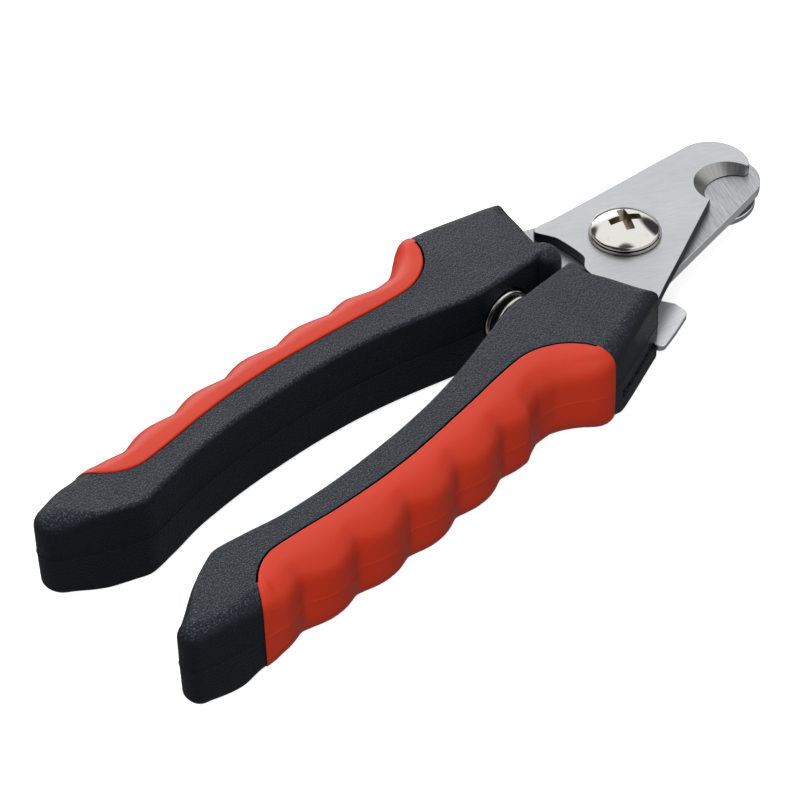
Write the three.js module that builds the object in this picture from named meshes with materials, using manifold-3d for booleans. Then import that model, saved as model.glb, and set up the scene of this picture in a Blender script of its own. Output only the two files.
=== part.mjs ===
// Plier-type pet nail trimmer, closed. Millimetres, +Z up, +X towards the blades' tips.
// The origin is the middle of the bounding box's underside. Shapes are drawn about the pivot
// axis, and each mesh is then placed at PIVOT_X.
// Blades and handles come in mirrored pairs: the far handle is at +Y, the near handle at -Y. The
// pairs differ only by STAGGER, the lobes, the lower blade's lean and notch, and the near slot.

import * as THREE from 'three';
import { mergeVertices } from 'three/addons/utils/BufferGeometryUtils.js';
import Module from 'manifold-3d';

const wasm = await Module();
wasm.setup();

// ---- driving dimensions ------------------------------------------------------------------------

const PIVOT_X = 47.2;            // pivot axis, measured from the middle of the whole length
const HANDLE_T = 17.2;           // handle thickness, and so the height of the whole trimmer
const GAP = 0.3;                 // clearance left between pieces that touch

const BLADE_T = 2.0;             // each blade
const UPPER_Z = 8.95;            // underside of the upper blade
const LOWER_Z = 6.85;            // underside of the lower blade
const GUARD_Z = 4.4;             // underside of the guard plate
const GUARD_T = 1.2;

const TAIL_X = -128.2;           // rear end of the handles
const HEAD_X = -19.7;            // front end of the handles, at their inner edge
const HEAD_RAKE = 6.8;           // how far the front end's outer edge leads its inner edge
const GRIP_FRONT_X = -32.2;      // front and rear ends of the grips, on the outer side
const GRIP_REAR_X = -115.2;
const GRIP_DEPTH = 2.4;          // depth of the grip's recess in the core
const INNER_R = 0.8;             // edge radius along the handles' inner side
const STAGGER = 0.3;             // far handle sits this much forward, near handle back
const LOBE_DROP = 0.6;           // the lobe at the head's inner corner is this much thinner
const FAR_LOBE = { x: -18.6, y: 3.2, r: 2.9 };
const NEAR_LOBE = { x: -19.4, y: 4.4, r: 2.3 };

const SCALLOP_PITCH = 12.1;      // finger scallops along the grip's outer side
const SCALLOP_X = -105.5;        // rearmost valley
const SCALLOP_H = 1.55;          // bump height above the valleys
const SCALLOP_SOFT = 0.22;       // rounding of the valleys, as a share of the wave
const WAVY_REAR_X = -111;        // the scallops start and end here
const WAVY_FRONT_X = -51.1;

const SPRING_X = -29.7;
const SPRING_Z = HANDLE_T / 2;
const SPRING_R = 4.6;            // mean coil radius
const SPRING_WIRE = 0.5;         // wire radius
const SPRING_TURNS = 7;
const SPRING_DEAD = 0.75;        // closed turns at each end
const POCKET_Y = 7.4;            // floor of the spring's pocket, from the middle plane
const POCKET_R = 5.5;
const BOSS_R = 3.7;              // boss that locates the coil inside

const SCREW_R = 2.5;             // shank
const SCREW_END_Z = 0.4;
const SCREW_BEVEL = 0.4;
const BORE_R = 2.56;             // running fit on the shank
const HEAD_R = 6.4;              // domed head
const HEAD_H = 3.1;
const HEAD_RIM = 0.7;            // straight side below the dome
const HEAD_EDGE = 0.2;           // bevel under the head
const CROSS_ARM = 3.4;           // half length of the cross recess
const CROSS_W = 1.7;
const CROSS_DEPTH = 1.9;
const CROSS_TURN = THREE.MathUtils.degToRad(-30);
const WASHER_R = 6.7;            // under the head
const WASHER_T = 0.5;
const SPACER_R = 5;              // between the guard plate and the lower blade
const LOCK_R = 4.3;              // split washer under the guard plate
const LOCK_SPLIT = 0.9;          // width and slant of its split
const LOCK_SLANT = THREE.MathUtils.degToRad(25);
const SEAT = 0.1;                // clearance between pieces stacked on the screw
const NUT_FLATS = 8;
const NUT_Z = 0.5;
const NUT_T = 2.9;

const TAB_REACH = 26;            // furthest point of the guard's thumb tab from the pivot
const SLOT_REAR_X = -29.4;       // sides of the tab's slot in the near handle
const SLOT_FRONT_X = -10;
const SLOT_INNER_Y = -12.5;
const SLOT_OUTER_Y = -30;

// ---- solids ------------------------------------------------------------------------------------

// Closed triangle soup to a manifold solid: vertices that coincide merge, slivers go.
function solid(geometry) {
  const bare = new THREE.BufferGeometry();
  bare.setAttribute('position', geometry.getAttribute('position'));
  bare.setIndex(geometry.getIndex());
  const merged = mergeVertices(bare, 1e-4);
  const index = merged.getIndex().array;
  const kept = [];
  for (let i = 0; i < index.length; i += 3) {
    const [a, b, c] = [index[i], index[i + 1], index[i + 2]];
    if (a !== b && b !== c && c !== a) {
      kept.push(a, b, c);
    }
  }
  return new wasm.Manifold(new wasm.Mesh({
    numProp: 3,
    vertProperties: new Float32Array(merged.getAttribute('position').array),
    triVerts: new Uint32Array(kept),
  }));
}

function geometryOf(manifold) {
  const mesh = manifold.getMesh();
  const geometry = new THREE.BufferGeometry();
  geometry.setAttribute('position', new THREE.BufferAttribute(mesh.vertProperties, 3));
  geometry.setIndex(new THREE.BufferAttribute(mesh.triVerts, 1));
  geometry.computeVertexNormals();
  return geometry;
}

// Rings of equal point count, joined in order and capped: the closed skin of a loft.
function loft(rings, cap) {
  const count = rings[0].length;
  const positions = rings.flat().flatMap((p) => [p.x, p.y, p.z]);
  const index = [];
  for (let r = 0; r + 1 < rings.length; r++) {
    for (let i = 0; i < count; i++) {
      const a = r * count + i;
      const b = r * count + (i + 1) % count;
      index.push(a, a + count, b, b, a + count, b + count);
    }
  }
  const last = (rings.length - 1) * count;
  for (const [a, b, c] of cap(rings[0])) {
    index.push(a, b, c);
  }
  for (const [a, b, c] of cap(rings.at(-1))) {
    index.push(last + a, last + c, last + b);
  }
  const geometry = new THREE.BufferGeometry();
  geometry.setAttribute('position', new THREE.Float32BufferAttribute(positions, 3));
  geometry.setIndex(index);
  return geometry;
}

// Cap of a level outline.
function levelCap(ring) {
  return THREE.ShapeUtils.triangulateShape(ring.map((p) => new THREE.Vector2(p.x, p.y)), []);
}

// Cap of a ring whose two halves face each other: point i lies opposite point start - i.
function stripCap(start) {
  return (ring) => {
    const count = ring.length;
    const partner = (i) => (start - i + count) % count;
    const triangles = [];
    for (let i = 0; i < Math.ceil((count - 1) / 2); i++) {
      triangles.push([i, i + 1, partner(i + 1)], [i, partner(i + 1), partner(i)]);
    }
    return triangles;
  };
}

function fanCap(ring) {
  return ring.slice(2).map((_, i) => [0, i + 1, i + 2]);
}

// Makes sure that a solid's faces point outwards.
function outward(geometry) {
  const made = solid(geometry);
  if (made.volume() > 0) {
    return made;
  }
  const index = geometry.getIndex().array.slice();
  for (let i = 0; i < index.length; i += 3) {
    [index[i], index[i + 1]] = [index[i + 1], index[i]];
  }
  geometry.setIndex(Array.from(index));
  return solid(geometry);
}

// A plate between two outlines of equal point count, at heights low and high.
function plate(lowOutline, highOutline, low, high) {
  const at = (outline, z) => outline.map((p) => new THREE.Vector3(p.x, p.y, z));
  return outward(loft([at(lowOutline, low), at(highOutline, high)], levelCap));
}

function prism(points, low, high) {
  const outline = points.map(([x, y]) => new THREE.Vector2(x, y));
  return plate(outline, outline, low, high);
}

function cylinder(x, y, radius, low, high, segments = 32) {
  const geometry = new THREE.CylinderGeometry(radius, radius, high - low, segments);
  geometry.rotateX(Math.PI / 2);
  geometry.translate(x, y, (low + high) / 2);
  return solid(geometry);
}

// A cylinder along Y, from y0 to y1.
function crossCylinder(x, z, radius, y0, y1, segments = 28) {
  const geometry = new THREE.CylinderGeometry(radius, radius, Math.abs(y1 - y0), segments);
  geometry.translate(x, (y0 + y1) / 2, z);
  return solid(geometry);
}

// ---- curves ------------------------------------------------------------------------------------

function arc(cx, cy, radius, from, to, steps) {
  const points = [];
  for (let i = 0; i <= steps; i++) {
    const angle = THREE.MathUtils.degToRad(from + ((to - from) * i) / steps);
    points.push([cx + radius * Math.cos(angle), cy + radius * Math.sin(angle)]);
  }
  return points;
}

// A smooth function y(x) through points in order of x, which never overshoots them.
function through(points) {
  const n = points.length;
  const slope = (i) => (points[i + 1][1] - points[i][1]) / (points[i + 1][0] - points[i][0]);
  const tangents = points.map((_, i) => {
    if (i === 0) {
      return slope(0);
    }
    if (i === n - 1) {
      return slope(n - 2);
    }
    const [a, b] = [slope(i - 1), slope(i)];
    return a * b <= 0 ? 0 : (2 * a * b) / (a + b);
  });
  return (x) => {
    const found = points.findIndex((p, k) => k > 0 && x <= p[0]);
    const i = found < 0 ? n - 2 : found - 1;
    const [x0, y0] = points[i];
    const [x1, y1] = points[i + 1];
    const h = x1 - x0;
    const t = THREE.MathUtils.clamp((x - x0) / h, 0, 1);
    const [t2, t3] = [t * t, t * t * t];
    return (2 * t3 - 3 * t2 + 1) * y0 + (t3 - 2 * t2 + t) * h * tangents[i]
      + (3 * t2 - 2 * t3) * y1 + (t3 - t2) * h * tangents[i + 1];
  };
}

// ---- handle profile, far side ------------------------------------------------------------------

// Inner edge: straight taper at the tail, a long hollow, then a straight run beside the spring.
const innerY = through([
  [TAIL_X, 16.2], [-126, 15.0], [-115, 9.1], [-112, 8.1], [-107, 8.8], [-97.5, 10.5], [-86, 11.1],
  [-74, 10.7], [-64.7, 9.8], [-58, 8.7], [-50.6, 7.0], [-41.3, 4.4], [-36.6, 3.2], [-31.9, 2.7],
  [HEAD_X, 2.4],
]);

// Outer edge without scallops.
const outerY = through([
  [TAIL_X, 20.0], [-125.6, 20.9], [-120, 22.0], [-115, 22.6], [WAVY_REAR_X, 23.1],
]);
const valleyY = through([
  [WAVY_REAR_X, 21.6], [-105, 21.9], [-92.8, 22.6], [-80.6, 22.8], [-68.4, 22.3], [-56.7, 21.5],
  [WAVY_FRONT_X, 20.9],
]);
const flareY = through([
  [WAVY_FRONT_X, 22.2], [-48.5, 21.0], [-46, 20.2], [-43, 20.3], [-40, 21.6], [-37, 23.7],
  [-34.9, 25.0], [-33.4, 25.4], [GRIP_FRONT_X, 25.2], [HEAD_X + HEAD_RAKE, 19.1],
]);

function handleOuterY(x) {
  if (x < WAVY_REAR_X) {
    return outerY(x);
  }
  if (x > WAVY_FRONT_X) {
    return flareY(x);
  }
  const wave = Math.sin((Math.PI * (x - SCALLOP_X)) / SCALLOP_PITCH);
  const rounded = Math.hypot(wave, SCALLOP_SOFT) - SCALLOP_SOFT;
  return valleyY(x) + (SCALLOP_H * rounded) / (Math.hypot(1, SCALLOP_SOFT) - SCALLOP_SOFT);
}

const outerRadius = through([
  [TAIL_X, 2.2], [-118, 2.6], [-110, 5], [-40, 5], [GRIP_FRONT_X, 3.2], [HEAD_X + HEAD_RAKE, 2.2],
]);

// The line on the top face where the grip meets the core.
const BOUNDARY = [
  [-32.3, 24.1], [-32.9, 21.6], [-33.9, 19.4], [-35.9, 16.9], [-38.3, 15.2], [-41.2, 14.0], [-44.5, 13.6],
  [-47.5, 13.8], [-50.6, 14.1], [-54, 14.5], [-56.7, 14.9], [-60, 15.3], [-62.8, 15.6], [-65.6, 15.9],
  [-68.4, 16.2], [-71.2, 16.4], [-74, 16.7], [-77.3, 16.8], [-80.6, 16.9], [-83.4, 16.9], [-86.2, 16.8],
  [-89.5, 16.6], [-92.8, 16.4], [-95.6, 16.1], [-98.4, 15.8], [-101.7, 15.5], [-105, 15.3],
  [-107.5, 15.6], [-109.5, 16.4], [-111.3, 17.6], [-113, 19.2], [-114.3, 20.8],
];

// One point on the skin of the handle's upper half, at station x: its place and its normal.
function skin(x, y) {
  const outer = handleOuterY(x);
  const r = outerRadius(x);
  const over = (y - (outer - r)) / r;
  if (over <= 0) {
    return { y, z: HANDLE_T, ny: 0, nz: 1 };
  }
  const ny = Math.min(over, 1);
  const nz = Math.sqrt(1 - ny * ny);
  return { y: outer - r + r * ny, z: HANDLE_T - r + r * nz, ny, nz };
}

const sunk = (p, depth) => [p.y - depth * p.ny, p.z - depth * p.nz];

// Upper half of a path from the boundary round the outer edge to mid height, sunk by depth.
function outerPath(x, boundary, depth) {
  const outer = handleOuterY(x);
  const r = outerRadius(x);
  const start = skin(x, boundary);
  const first = Math.min(Math.PI / 2, Math.acos(Math.min(start.ny, 1)));
  const path = [sunk(start, depth)];
  for (const share of [0, 1 / 3, 2 / 3, 1]) {
    const turn = start.ny > 0 ? first * (1 - share) : (Math.PI / 2) * (1 - share);
    path.push(sunk(skin(x, outer - r + r * Math.cos(turn)), depth));
  }
  path.push([outer - depth, HANDLE_T / 2]);
  return path;
}

const mirroredZ = (path) => path.slice(0, -1).reverse().map(([y, z]) => [y, HANDLE_T - z]);
const stationRing = (x, path) => path.map(([y, z]) => new THREE.Vector3(x, y, z));

// The skin from the flat top to the boundary, which may lie on the rounded outer edge.
function shoulderPath(x, boundary) {
  const flatEnd = handleOuterY(x) - outerRadius(x);
  const end = skin(x, boundary);
  const angle = Math.asin(Math.min(end.ny, 1));
  return [0, 1 / 3, 2 / 3, 1].map((share) => {
    const across = outerRadius(x) * Math.sin(angle * share);
    return sunk(skin(x, end.ny > 0 ? flatEnd + across : boundary), 0);
  });
}

// Section of the core: the full outline, with the grip's recess sunk beyond the boundary.
function coreRing(x, boundary, depth) {
  const inner = innerY(x);
  const upper = [[inner, HANDLE_T / 2]];
  for (const [across, up] of arc(INNER_R, -INNER_R, INNER_R, 180, 90, 2)) {
    upper.push([inner + across, HANDLE_T + up]);
  }
  upper.push(...shoulderPath(x, boundary));
  upper.push(...outerPath(x, boundary, depth));
  return stationRing(x, [...upper, ...mirroredZ(upper).slice(0, -1)]);
}

// Section of the grip: out along the skin, back along the recess.
function gripRing(x, boundary) {
  const out = outerPath(x, boundary, 0);
  const back = outerPath(x, boundary, GRIP_DEPTH - GAP);
  return stationRing(x, [...out, ...mirroredZ(out), ...[...back, ...mirroredZ(back)].reverse()]);
}

// How far along the head a station lies, 0 at the grip's front end and 1 at the head's.
const headShare = (x) => THREE.MathUtils.clamp((x - GRIP_FRONT_X) / (HEAD_X - GRIP_FRONT_X), 0, 1);

// A head section, drawn level across and then slanted so that its outer edge leads.
function headRing(x) {
  const lead = headShare(x) * HEAD_RAKE;
  const outer = handleOuterY(x + lead);
  const ring = coreRing(x + lead, outer, 0);
  for (const p of ring) {
    const inner = innerY(x + lead);
    p.x -= lead * (1 - (p.y - inner) / (outer - inner));
  }
  return ring;
}

function handleCore(lobe) {
  const rings = [];
  for (const x of [HEAD_X, -23.5, -27.5, GRIP_FRONT_X]) {
    rings.push(headRing(x));
  }
  rings.push(coreRing(GRIP_FRONT_X, handleOuterY(GRIP_FRONT_X), GRIP_DEPTH));
  for (const [x, y] of BOUNDARY) {
    rings.push(coreRing(x, y, GRIP_DEPTH));
  }
  rings.push(coreRing(GRIP_REAR_X, handleOuterY(GRIP_REAR_X), GRIP_DEPTH));
  for (const x of [GRIP_REAR_X, -118, -121.5, -125, TAIL_X]) {
    rings.push(coreRing(x, handleOuterY(x), 0));
  }
  return outward(loft(rings, stripCap(0))).add(
    cylinder(lobe.x, lobe.y, lobe.r, LOBE_DROP, HANDLE_T - LOBE_DROP, 20));
}

function grip() {
  const rings = [gripRing(GRIP_FRONT_X - GAP, handleOuterY(GRIP_FRONT_X))];
  for (const [x, y] of BOUNDARY.slice(1, -1)) {
    rings.push(gripRing(x, y + GAP));
  }
  rings.push(gripRing(GRIP_REAR_X + GAP, handleOuterY(GRIP_REAR_X)));
  return outward(loft(rings, stripCap(-1)));
}

// ---- blades, far side up to +Y -----------------------------------------------------------------

// Outline of the upper blade, with a given notch edge. The notch's two edges differ, because its
// wall is ground sloping. lean moves points ahead of the pivot sideways, in proportion.
function bladeOutline(notch, tang, lean) {
  return [
    ...arc(27, 1.6, 7.15, -51, 82, 14),
    [20.6, 9.65], [-5, 12.75], [-8, 13.4], [-9.6, 13.45], [-10.5, 12.9], [-10.4, 11.9],
    [-9.3, 8.9], [-9.2, 7], [-9.8, 2.3], [-10.3, 0.9], [-12.0, -0.5], [-12.7, -1.7], [-13.2, -4.0],
    ...tang,
    [-4.6, -14.2], [1.6, -11.8], [17.8, -5.35],
    ...arc(notch.x, notch.y, notch.r, notch.from, notch.to, 16),
  ].map(([x, y]) => new THREE.Vector2(x, y - lean * Math.max(x, 0)));
}

// The tang's outline, widened by grow to cut the handle that is moulded over it.
const TANG_REAR = -56;
function tangPoints(grow) {
  return [
    [-21.8 - grow, -4.6 + grow], [-22.6 - grow, -9.4 + grow],
    ...arc(TANG_REAR + 1.5, -11, 1.5 + grow, 90, 180, 3),
    ...arc(TANG_REAR + 1.5, -14.2, 1.5 + grow, 180, 270, 3),
    [-24, -16.6 - grow], [-16, -17.6 - grow], [-11, -16.9 - grow],
  ];
}

const TANG_HOLES = [-46, -33];   // anchor holes along the tang
const TANG_HOLE_Y = -12.8;
const TANG_HOLE_R = 1.7;

const NOTCH_OUTSIDE = { x: 24.6, y: -4.4, r: 6.35, from: 187, to: 6 };
const NOTCH_INSIDE = { x: 24.8, y: -6.1, r: 5.75, from: 165, to: 22 };
const LOWER_NOTCH_SHIFT = -1.3;  // the lower notch lies further in, so the closed blades overlap
const LOWER_LEAN = 0.015;        // closed, the lower blade's tip lies slightly across

function blade(insideZ, outsideZ, shift, lean) {
  const moved = (notch) => ({ ...notch, y: notch.y + shift });
  const inside = bladeOutline(moved(NOTCH_INSIDE), tangPoints(0), lean);
  const outside = bladeOutline(moved(NOTCH_OUTSIDE), tangPoints(0), lean);
  const low = Math.min(insideZ, outsideZ);
  const high = Math.max(insideZ, outsideZ);
  let body = insideZ < outsideZ ? plate(inside, outside, low, high) : plate(outside, inside, low, high);
  body = body.subtract(cylinder(0, 0, BORE_R, low - 1, high + 1));
  for (const x of TANG_HOLES) {
    body = body.subtract(cylinder(x, TANG_HOLE_Y, TANG_HOLE_R, low - 1, high + 1, 20));
  }
  return body;
}

// The cavity that a blade's tang leaves in its handle, at -Y: the tang, grown all round.
function tangCavity(low, high) {
  const outline = [[-8, -3.6], [-13.3, -4.0], ...tangPoints(GAP), [-8, -17.2]];
  let cavity = prism(outline, low - GAP, high + GAP);
  for (const x of TANG_HOLES) {
    cavity = cavity.subtract(cylinder(x, TANG_HOLE_Y, TANG_HOLE_R - GAP, low - 1, high + 1, 20));
  }
  return cavity;
}

// ---- guard plate -------------------------------------------------------------------------------

function guardPlate() {
  const outline = [
    ...arc(24.9, -0.7, 8, -118, 84, 16),
    ...arc(0, 0, 8, 84, 215, 8),
    [-7.8, -8.0], [-12.0, -15.0], [-15.2, -19.3],
    ...arc(-14.5, -20.5, 1.2, 150, 285, 5),
    ...arc(-6.4, -17.4, 2.0, 290, 370, 5),
    [-4.3, -15.6], [-5.0, -14.0], [-5.2, -12.2], [-2.8, -9.0], [2, -7.6], [9, -6.5], [15.5, -6.7],
  ];
  return prism(outline, GUARD_Z, GUARD_Z + GUARD_T).subtract(
    cylinder(0, 0, BORE_R, GUARD_Z - 1, GUARD_Z + GUARD_T + 1));
}

// The slot in the near handle that the tab swings through, open at the front and outer sides.
function guardSlot() {
  const low = GUARD_Z - GAP;
  const high = GUARD_Z + GUARD_T + GAP;
  const sweep = cylinder(0, 0, TAB_REACH + 2 * GAP, low, high, 64);
  const sideways = prism([
    [SLOT_REAR_X, SLOT_INNER_Y], [SLOT_REAR_X, SLOT_OUTER_Y],
    [SLOT_FRONT_X, SLOT_OUTER_Y], [SLOT_FRONT_X, SLOT_INNER_Y],
  ], low, high);
  return sweep.add(sideways);
}

// ---- spring ------------------------------------------------------------------------------------

// Closed coil along Y: dead turns at both ends, open turns between.
function springSolid() {
  const sides = 7;
  const perTurn = 16;
  const steps = SPRING_TURNS * perTurn;
  const half = POCKET_Y - SPRING_WIRE - GAP / 2;
  const dead = SPRING_DEAD / SPRING_TURNS;
  const rings = [];
  for (let i = 0; i <= steps; i++) {
    const turn = (2 * Math.PI * i) / perTurn;
    const share = i / steps;
    const rise = THREE.MathUtils.clamp((share - dead) / (1 - 2 * dead), 0, 1);
    const closed = SPRING_WIRE * (Math.min(share, dead) + Math.max(share - 1 + dead, 0)) / dead;
    const y = -half + closed + rise * 2 * (half - SPRING_WIRE);
    const ring = [];
    for (let k = 0; k < sides; k++) {
      const around = (2 * Math.PI * k) / sides;
      const radius = SPRING_R + SPRING_WIRE * Math.cos(around);
      ring.push(new THREE.Vector3(
        SPRING_X + radius * Math.cos(turn),
        y + SPRING_WIRE * Math.sin(around),
        SPRING_Z + radius * Math.sin(turn),
      ));
    }
    rings.push(ring);
  }
  return outward(loft(rings, fanCap));
}

// Round pocket for one end of the spring, with a boss left standing in its middle.
function springPocket() {
  const ring = crossCylinder(SPRING_X, SPRING_Z, POCKET_R, 0, POCKET_Y);
  return ring.subtract(crossCylinder(SPRING_X, SPRING_Z, BOSS_R, -1, POCKET_Y + 1));
}

// ---- fasteners ---------------------------------------------------------------------------------

const STACK_TOP = UPPER_Z + BLADE_T;

function turned(profile, segments = 40) {
  const geometry = new THREE.LatheGeometry(profile.map(([x, y]) => new THREE.Vector2(x, y)), segments);
  geometry.rotateX(Math.PI / 2);
  return outward(geometry);
}

function pivotScrew() {
  const seat = STACK_TOP + SEAT + WASHER_T + SEAT;
  const domeH = HEAD_H - HEAD_RIM;
  const domeR = (HEAD_R ** 2 + domeH ** 2) / (2 * domeH);
  const spread = THREE.MathUtils.radToDeg(Math.asin(HEAD_R / domeR));
  const dome = arc(0, seat + HEAD_H - domeR, domeR, 90 - spread, 90, 7);
  const profile = [
    [0, SCREW_END_Z], [SCREW_R - SCREW_BEVEL, SCREW_END_Z], [SCREW_R, SCREW_END_Z + SCREW_BEVEL],
    [SCREW_R, seat], [HEAD_R - HEAD_EDGE, seat], [HEAD_R, seat + HEAD_EDGE],
    ...dome.slice(0, -1), [0, seat + HEAD_H],
  ];
  let screw = turned(profile);
  for (const turn of [0, Math.PI / 2]) {
    const arm = new THREE.BoxGeometry(2 * CROSS_ARM, CROSS_W, 2 * CROSS_DEPTH);
    arm.rotateZ(CROSS_TURN + turn);
    arm.translate(0, 0, seat + HEAD_H);
    screw = screw.subtract(solid(arm));
  }
  return screw;
}

function washer(radius, low, high) {
  return cylinder(0, 0, radius, low, high, 40).subtract(
    cylinder(0, 0, SCREW_R + GAP / 2, low - 1, high + 1));
}

// Split ring whose ends are cut at a slant.
function lockWasher(low, high) {
  const cut = new THREE.BoxGeometry(2 * LOCK_R, LOCK_SPLIT, 2 * LOCK_R);
  cut.rotateX(LOCK_SLANT);
  cut.translate(LOCK_R, 0, (low + high) / 2);
  return washer(LOCK_R, low, high).subtract(solid(cut));
}

function pivotNut() {
  const across = NUT_FLATS / Math.sqrt(3);
  return cylinder(0, 0, across, NUT_Z, NUT_Z + NUT_T, 6).subtract(
    cylinder(0, 0, BORE_R, NUT_Z - 1, NUT_Z + NUT_T + 1));
}

// ---- materials ---------------------------------------------------------------------------------

const finish = (color, roughness, metalness) => (
  new THREE.MeshStandardMaterial({ color, roughness, metalness })
);
const steel = finish(0xc8cbd0, 0.35, 1);
const darkSteel = finish(0x9a9c9e, 0.4, 1);
const nickel = finish(0xd8d4c8, 0.15, 1);
const blackPlastic = finish(0x24272b, 0.6, 0);
const redRubber = finish(0xc23a22, 0.5, 0);

// ---- assembly ----------------------------------------------------------------------------------

const mirrorY = (manifold) => manifold.mirror([0, 1, 0]);

const lowerTop = LOWER_Z + BLADE_T;
const farCore = handleCore(FAR_LOBE)
  .translate([STAGGER, 0, 0])
  .subtract(springPocket())
  .subtract(mirrorY(tangCavity(LOWER_Z, lowerTop)));
const nearCore = mirrorY(handleCore(NEAR_LOBE).translate([-STAGGER, 0, 0]).subtract(springPocket()))
  .subtract(tangCavity(UPPER_Z, STACK_TOP))
  .subtract(guardSlot());

const pieces = {
  far_handle_core: [farCore, blackPlastic],
  near_handle_core: [nearCore, blackPlastic],
  far_grip: [grip().translate([STAGGER, 0, 0]), redRubber],
  near_grip: [mirrorY(grip()).translate([-STAGGER, 0, 0]), redRubber],
  upper_blade: [blade(UPPER_Z, STACK_TOP, 0, 0), steel],
  lower_blade: [mirrorY(blade(lowerTop, LOWER_Z, LOWER_NOTCH_SHIFT, LOWER_LEAN)), steel],
  guard_plate: [guardPlate(), steel],
  guard_washer: [washer(SPACER_R, GUARD_Z + GUARD_T + SEAT, LOWER_Z - SEAT), darkSteel],
  lock_washer: [lockWasher(NUT_Z + NUT_T + SEAT, GUARD_Z - SEAT), darkSteel],
  pivot_nut: [pivotNut(), nickel],
  pivot_screw: [pivotScrew(), nickel],
  head_washer: [washer(WASHER_R, STACK_TOP + SEAT, STACK_TOP + SEAT + WASHER_T), nickel],
  handle_spring: [springSolid(), nickel],
};

const trimmer = new THREE.Group();
for (const [name, [manifold, material]] of Object.entries(pieces)) {
  const mesh = new THREE.Mesh(geometryOf(manifold), material);
  mesh.name = name;
  mesh.position.x = PIVOT_X;
  trimmer.add(mesh);
}

export default trimmer;
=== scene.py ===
"""Looks of the plier-type pet nail trimmer. Shapes are in millimetres about the pivot axis, +X to
the blades' tips, +Z up, and place() turns them into the frame's metres."""

import math

import bmesh
import bpy
from mathutils import Matrix, Vector

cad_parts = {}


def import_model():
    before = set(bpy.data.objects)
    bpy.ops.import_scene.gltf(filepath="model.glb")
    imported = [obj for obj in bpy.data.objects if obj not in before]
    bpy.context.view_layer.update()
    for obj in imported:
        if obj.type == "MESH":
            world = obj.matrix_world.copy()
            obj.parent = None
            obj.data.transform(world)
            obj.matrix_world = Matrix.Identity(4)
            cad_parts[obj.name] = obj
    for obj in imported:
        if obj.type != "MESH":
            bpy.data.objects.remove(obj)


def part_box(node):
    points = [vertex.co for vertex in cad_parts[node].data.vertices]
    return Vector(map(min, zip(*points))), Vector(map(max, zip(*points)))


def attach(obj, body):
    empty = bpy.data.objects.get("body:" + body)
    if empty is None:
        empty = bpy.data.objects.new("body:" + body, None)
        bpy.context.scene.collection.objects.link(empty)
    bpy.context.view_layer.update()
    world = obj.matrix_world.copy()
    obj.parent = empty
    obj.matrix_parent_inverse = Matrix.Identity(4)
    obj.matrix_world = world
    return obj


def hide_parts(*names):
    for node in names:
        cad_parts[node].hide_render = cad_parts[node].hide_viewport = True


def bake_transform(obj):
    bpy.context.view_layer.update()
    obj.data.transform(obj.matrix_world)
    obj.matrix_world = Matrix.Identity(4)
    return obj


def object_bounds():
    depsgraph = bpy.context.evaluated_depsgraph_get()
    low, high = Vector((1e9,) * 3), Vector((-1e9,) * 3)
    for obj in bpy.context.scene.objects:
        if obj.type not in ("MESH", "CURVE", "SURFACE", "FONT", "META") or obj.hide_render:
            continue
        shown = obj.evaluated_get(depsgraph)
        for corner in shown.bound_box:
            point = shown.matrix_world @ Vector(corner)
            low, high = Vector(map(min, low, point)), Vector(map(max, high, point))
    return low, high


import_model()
cad_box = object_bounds()

MM = 0.001
PIVOT_X = sum(corner.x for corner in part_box("head_washer")) / 2 / MM
HANDLE_T = cad_box[1].z / MM
MID = HANDLE_T / 2

# ---- camera ------------------------------------------------------------------------------------

CAMERA_AT = Vector((-296.9, -280.0, 356.8)) * MM
CAMERA_FORWARD = Vector((0.53724, 0.52966, -0.65638))
CAMERA_UP = Vector((0.49204, 0.43525, 0.75396))
CAMERA_LENS = 137.8


def aim(obj, at, forward, up):
    """Places a camera or a lamp so that it looks along forward."""
    back = -forward.normalized()
    right = up.cross(back).normalized()
    turn = Matrix((right, back.cross(right), back)).transposed()
    obj.matrix_world = Matrix.Translation(at) @ turn.to_4x4()


camera = bpy.data.objects.new("camera", bpy.data.cameras.new("camera"))
bpy.context.scene.collection.objects.link(camera)
camera.data.lens = CAMERA_LENS
camera.data.clip_start = 0.01
aim(camera, CAMERA_AT, CAMERA_FORWARD, CAMERA_UP)
bpy.context.scene.camera = camera

# ---- handle dimensions, far side ---------------------------------------------------------------

TAIL_X = -128.2
HEAD_X = -19.7
HEAD_RAKE = 6.8
HEAD_CORNER_Y = 19.1
GRIP_FRONT_X = -32.2
GRIP_REAR_X = -115.2
SCALLOPS_REAR_X = -111
SCALLOPS_FRONT_X = -51.1
SCALLOP_PITCH = 12.1
SCALLOP_X = -105.5              # a valley between two crests
SCALLOP_H = 1.55                # from the valleys' line to the crests
SCALLOP_SOFT = 0.22             # how round the valleys are
PROUD = 0.12                    # the grip stands this much above the core
SEAM = 0.04                     # half the gap between them
INNER_R = 0.8
TAIL_R = 1.9
DRAFT = 0.12
RIDGE = 0.1                     # how far the mould's parting line stands out
RIDGE_HALF_H = 0.22
EDGE_STEPS = 7                  # faces round the turn of an edge
LONGEST_LOOP = 60               # columns that unfold may gather


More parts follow.
